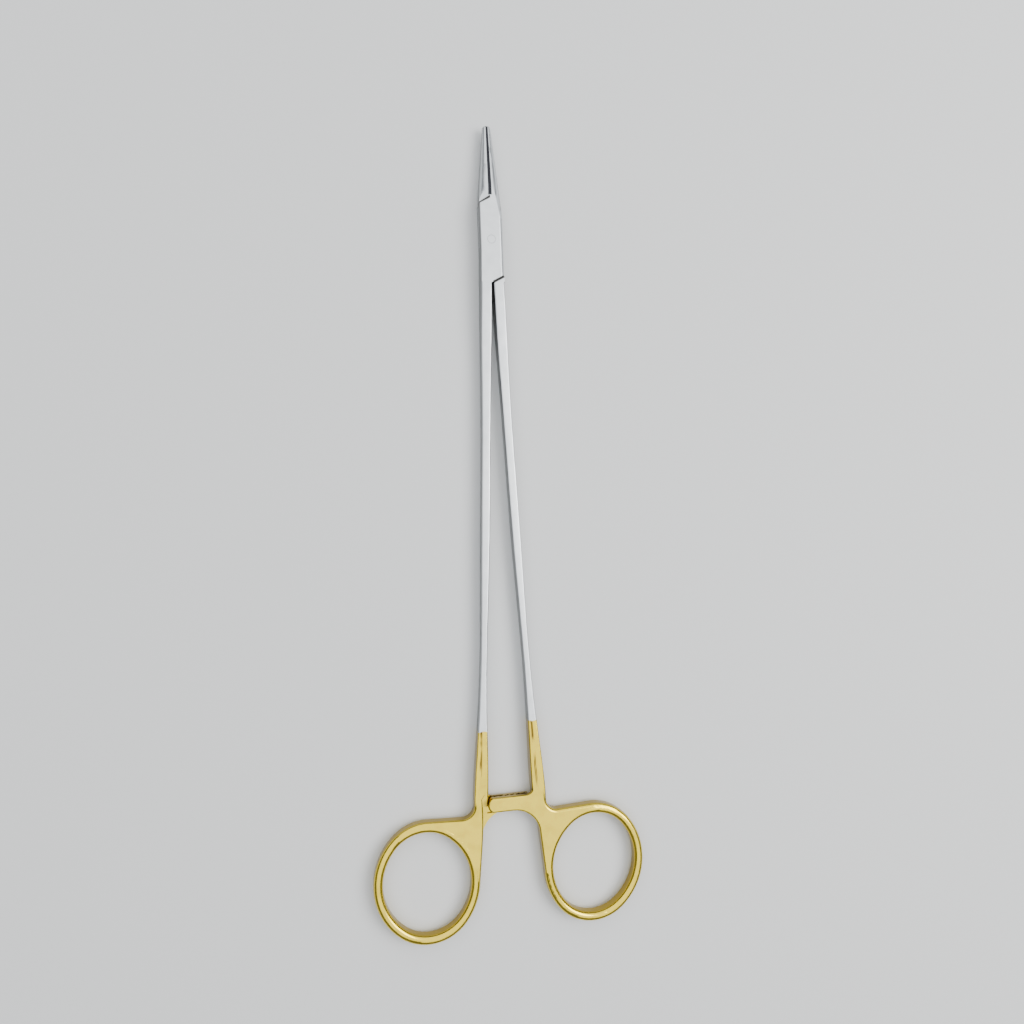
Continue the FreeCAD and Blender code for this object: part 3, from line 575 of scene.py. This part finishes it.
class NEEDLEHOLDER_OT_inserts(bpy.types.Operator):
    """Carbide inserts with their cross-cut gripping faces"""

    bl_idname = "needleholder.inserts"
    bl_label = "Carbide inserts"
    crease = math.radians(20)

    def execute(self, context):
        material = sintered_carbide(context.scene.needleholder_finish)
        for node, body, side in (("female_jaw_insert", "female_side", 1),
                                 ("male_jaw_insert", "male_side", -1)):
            reaches = corner_places(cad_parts[node].data)[:, 1]
            mesh = insert_surface(node + "_surface", context.scene.needleholder_insert,
                                  reaches.min(), reaches.max(), side)
            mesh.shade_smooth()
            mesh.set_sharp_from_angle(angle=self.crease)
            show(node + "_cut", mesh, body, [node], material)
        return {"FINISHED"}


def area_light(name, power, size, place, target, colour):
    """Round soft light that faces its target."""
    light = bpy.data.lights.new(name, "AREA")
    light.shape = "DISK"
    light.energy, light.size, light.color = power, size, colour
    lamp = bpy.data.objects.new(name, light)
    lamp.location = place
    lamp.rotation_euler = (Vector(target) - Vector(place)).to_track_quat("-Z", "Y").to_euler()
    bpy.context.scene.collection.objects.link(lamp)


def photo_camera(lens):
    """Camera that looks down on the holder from the left of its middle, by 12 degrees.

    The floor's upward normal, as the camera sees it, and the turn of the holder on the floor give
    the axes. They and the position were fitted to the photo.
    """
    normal = Vector((0.2062, 0.0015, 1.0)).normalized()
    across = Vector((0, 1, 0)).cross(normal).normalized()
    along = normal.cross(across)
    turn = math.radians(2.04)
    rows = [across * math.cos(turn) + along * math.sin(turn),
            along * math.cos(turn) - across * math.sin(turn),
            normal]
    camera = bpy.data.objects.new("camera", bpy.data.cameras.new("camera"))
    camera.data.lens = lens
    camera.data.clip_start = 0.01
    camera.data.clip_end = 10
    place = Matrix(rows).to_4x4()
    place.translation = Vector((-40.9, -75.9, 218.9)) * MM
    camera.matrix_world = place
    bpy.context.scene.collection.objects.link(camera)
    bpy.context.scene.camera = camera


class NEEDLEHOLDER_OT_stage(bpy.types.Operator):
    """Pale floor, soft lights and the camera"""

    bl_idname = "needleholder.stage"
    bl_label = "Stage"

    def execute(self, context):
        stage = context.scene.needleholder_stage
        half, floor_gap = 4, 0.02 * MM
        mesh = bpy.data.meshes.new("floor")
        mesh.from_pydata([(-half, -half, 0), (half, -half, 0), (half, half, 0), (-half, half, 0)],
                         [], [(0, 1, 2, 3)])
        floor = bpy.data.objects.new("floor", mesh)
        floor.location.z = -floor_gap
        floor.data.materials.append(matte_floor(stage))
        context.scene.collection.objects.link(floor)
        area_light("key", stage.key_power, size=0.5, place=(0.45, -0.05, 0.6),
                   target=(0, -0.08, 0), colour=(1, 0.98, 0.95))
        area_light("overhead", stage.fill_power, size=2.6, place=(0.1, 0.2, 0.95),
                   target=(0.1, 0, 0), colour=(1, 1, 1))
        world = bpy.data.worlds.new("room")
        world.use_nodes = True
        background = world.node_tree.nodes["Background"]
        background.inputs["Color"].default_value = (0.9, 0.95, 1, 1)
        background.inputs["Strength"].default_value = stage.room
        context.scene.world = world
        photo_camera(stage.lens)
        return {"FINISHED"}


class NEEDLEHOLDER_PT_panel(bpy.types.Panel):
    """Sizes, finishes and the steps that use them"""

    bl_idname = "NEEDLEHOLDER_PT_panel"
    bl_label = "Needle holder"
    bl_space_type = "VIEW_3D"
    bl_region_type = "UI"
    bl_category = "Needle holder"

    def draw(self, context):
        for name in GROUPS:
            group = getattr(context.scene, name)
            box = self.layout.box()
            for setting in group.__annotations__:
                box.prop(group, setting)
        for step in STEPS:
            self.layout.operator(step.bl_idname)


STEPS = (NEEDLEHOLDER_OT_arms, NEEDLEHOLDER_OT_inserts, NEEDLEHOLDER_OT_stage)
GROUPS = {"needleholder_finish": FinishSettings, "needleholder_seam": SeamSettings,
          "needleholder_insert": InsertSettings, "needleholder_stage": StageSettings}


def register():
    for name, group in GROUPS.items():
        bpy.utils.register_class(group)
        setattr(bpy.types.Scene, name, bpy.props.PointerProperty(type=group))
    for item in (*STEPS, NEEDLEHOLDER_PT_panel):
        bpy.utils.register_class(item)


def unregister():
    for item in reversed((*STEPS, NEEDLEHOLDER_PT_panel)):
        bpy.utils.unregister_class(item)
    for name, group in GROUPS.items():
        delattr(bpy.types.Scene, name)
        bpy.utils.unregister_class(group)


def main():
    register()
    bpy.ops.needleholder.arms()
    bpy.ops.needleholder.inserts()
    bpy.ops.needleholder.stage()


if __name__ == "__main__":
    main()
